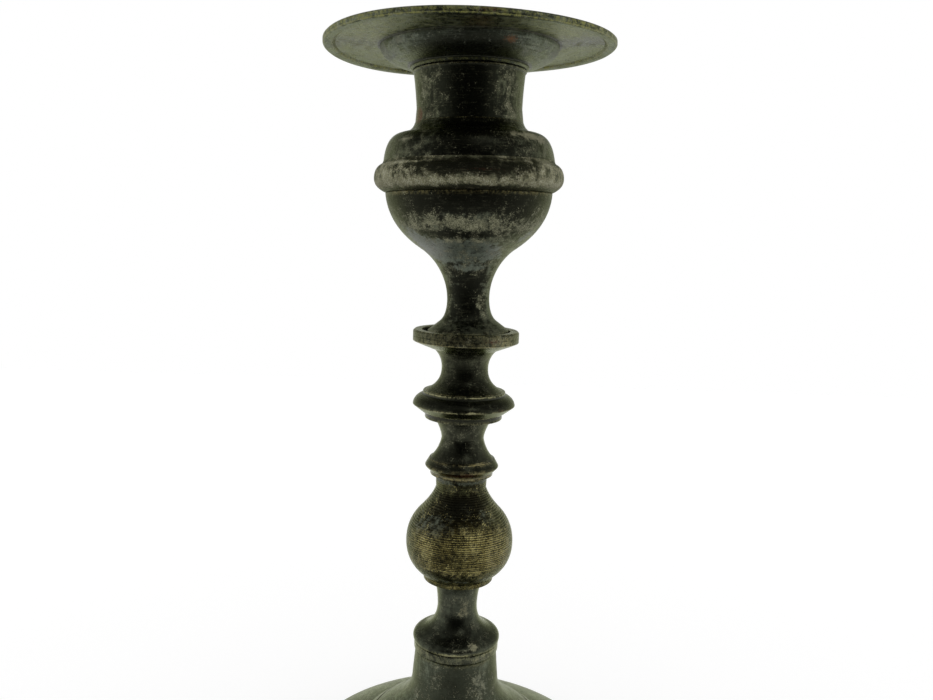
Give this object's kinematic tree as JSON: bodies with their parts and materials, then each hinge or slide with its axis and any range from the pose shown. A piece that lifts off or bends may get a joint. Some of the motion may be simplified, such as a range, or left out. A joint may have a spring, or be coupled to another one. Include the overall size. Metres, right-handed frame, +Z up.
{
  "type": "candlestick",
  "caption": "Tall turned brass candlestick with a domed hollow foot, knopped stem, urn-shaped holder and a wide lift-off drip pan with candle sleeve.",
  "frame": {"origin": "middle of the foot on the surface that the candlestick stands on", "axes": "+Z up along the stem, +X to the right and +Y away from the viewer of the picture"},
  "size_m": [0.126, 0.126, 0.2443],
  "materials": {
    "foot_brass": "dark olive-grey patina, semi-gloss",
    "rod_steel": "plain threaded rod, dull",
    "washer_brass": "dull brass",
    "nut_brass": "dull brass",
    "collar_brass": "dark patina, worn edges",
    "ball_brass": "dark patina with fine turning lines",
    "lower_knop_brass": "dark patina, worn edges",
    "upper_knop_brass": "dark patina, worn edges",
    "disc_brass": "dark patina, worn rim",
    "bowl_brass": "mottled grey-green patina",
    "belt_brass": "pitted pale patina",
    "shoulder_brass": "dark patina",
    "neck_brass": "dark patina",
    "pan_brass": "worn grey-green patina, brassy rim",
    "sleeve_brass": "dull brass, stained inside"
  },
  "bodies": {
    "stem": {"base_shell": "foot_brass", "tie_rod": "rod_steel", "rod_washer": "washer_brass", "rod_nut": "nut_brass", "foot_collar": "collar_brass", "ball_knop": "ball_brass", "lower_knop": "lower_knop_brass", "upper_knop": "upper_knop_brass", "dished_disc": "disc_brass"},
    "urn": {"urn_bowl": "bowl_brass", "urn_belt": "belt_brass", "urn_shoulder": "shoulder_brass", "urn_neck": "neck_brass"},
    "nozzle": {"drip_pan": "pan_brass", "candle_sleeve": "sleeve_brass"}
  },
  "joints": [
    {"name": "urn_turn", "type": "hinge", "parent": "stem", "child": "urn", "pos_m": [0.0006, 0, 0.15612], "axis": [-0.0262, 0, 0.9997], "continuous": true},
    {"name": "nozzle_lift", "type": "slide", "parent": "urn", "child": "nozzle", "axis": [-0.0262, 0, 0.9997], "range_m": [0, 0.04]}
  ]
}
